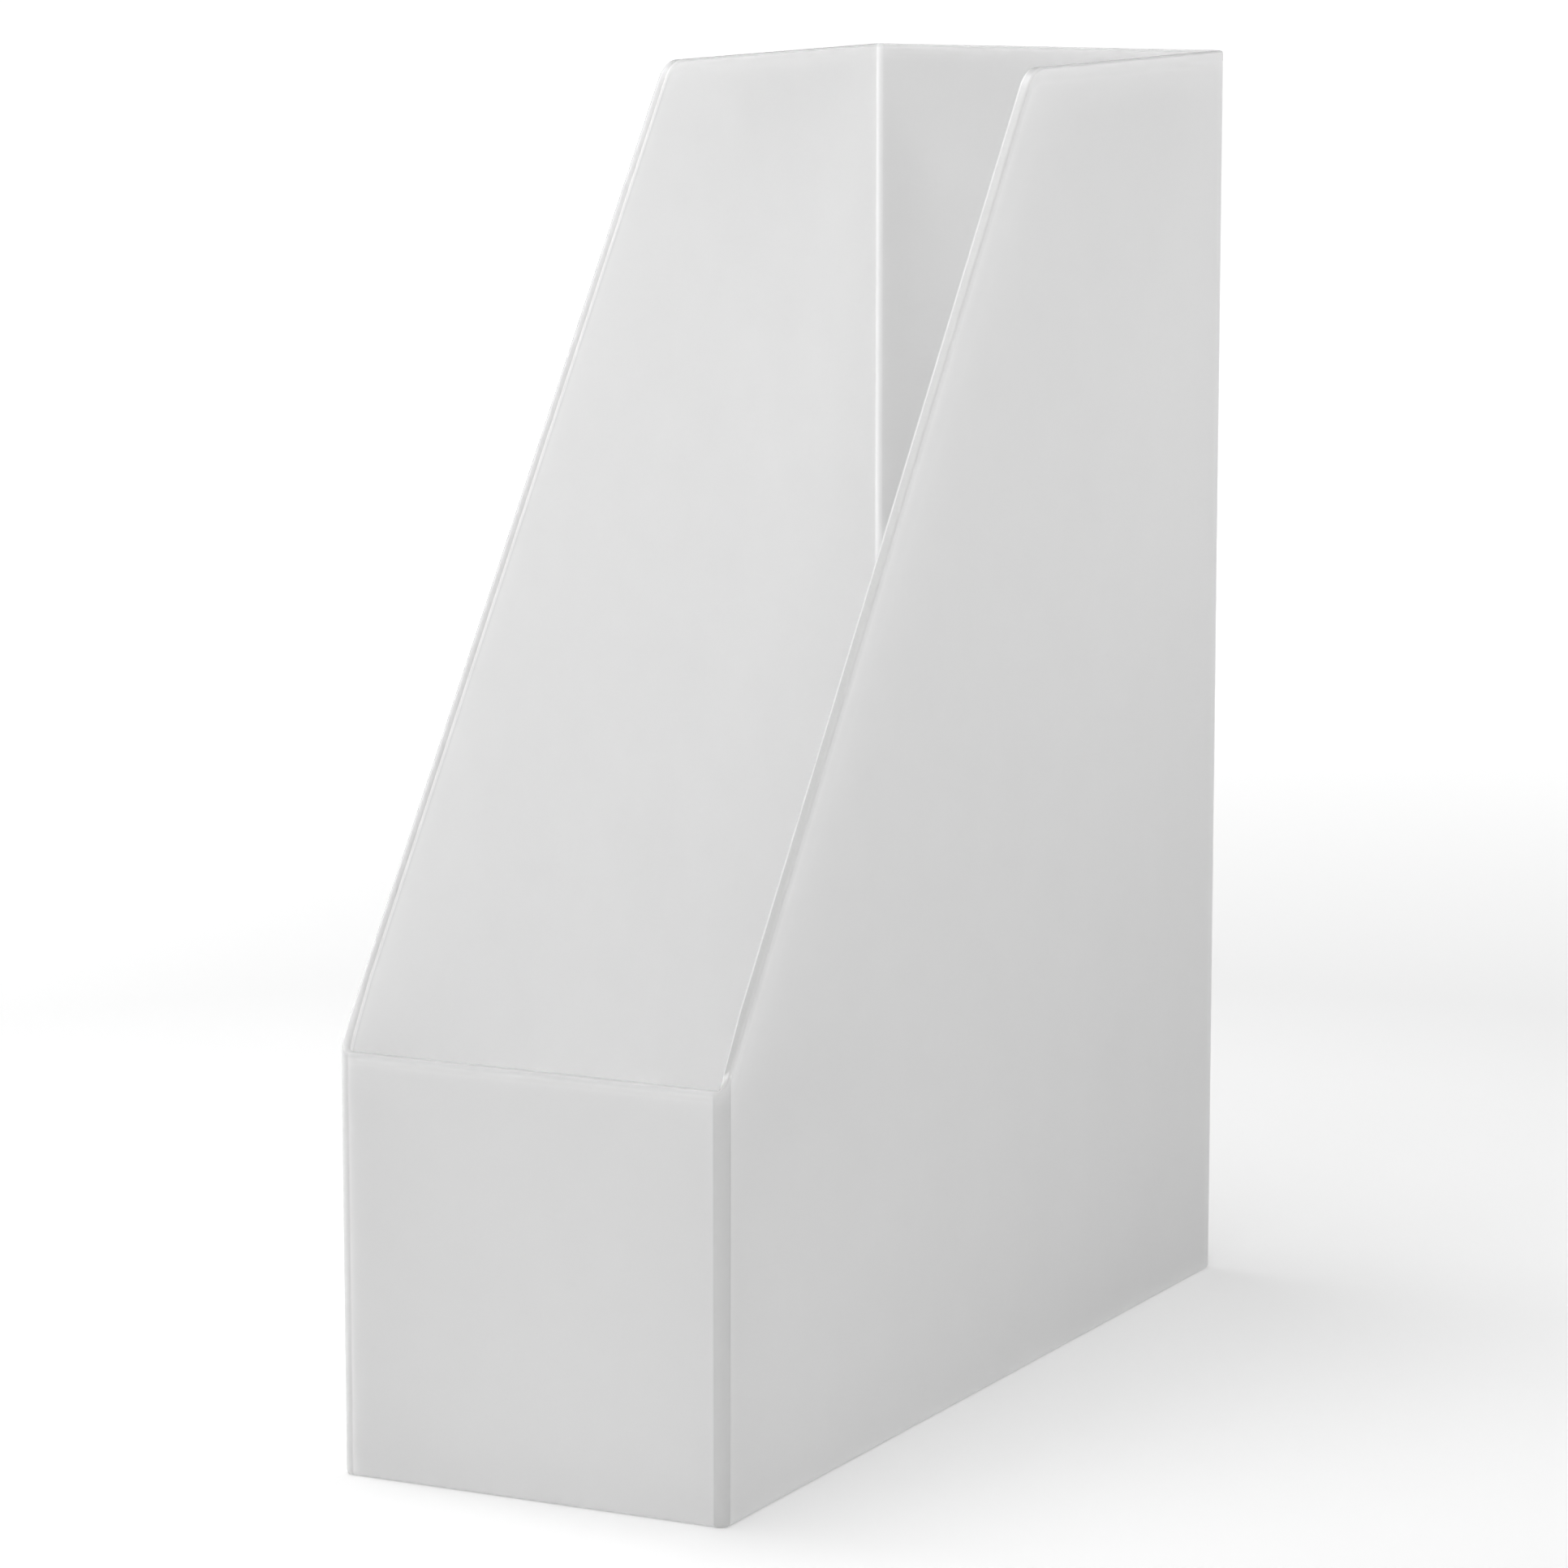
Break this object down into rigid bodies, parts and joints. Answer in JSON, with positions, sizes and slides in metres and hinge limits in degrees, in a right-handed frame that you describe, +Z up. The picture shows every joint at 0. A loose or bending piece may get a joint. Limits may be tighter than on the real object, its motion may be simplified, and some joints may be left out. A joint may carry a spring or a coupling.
{
  "type": "magazine rack",
  "caption": "Tall narrow open-topped file box for A4 magazines: low front, high back, side walls that slope down from a level rounded shoulder to the front.",
  "frame": {"origin": "on the ground, at the middle of the box's overall rectangle", "axes": "+X towards the right side wall seen from the front, -Y towards the low front wall, +Z up"},
  "size_m": [0.1, 0.276, 0.318],
  "materials": {
    "frosted_polypropylene": "translucent white moulded plastic, satin"
  },
  "bodies": {
    "root": {"left_side_wall": "frosted_polypropylene", "right_side_wall": "frosted_polypropylene", "front_wall": "frosted_polypropylene", "rear_wall": "frosted_polypropylene", "floor": "frosted_polypropylene"}
  },
  "joints": []
}
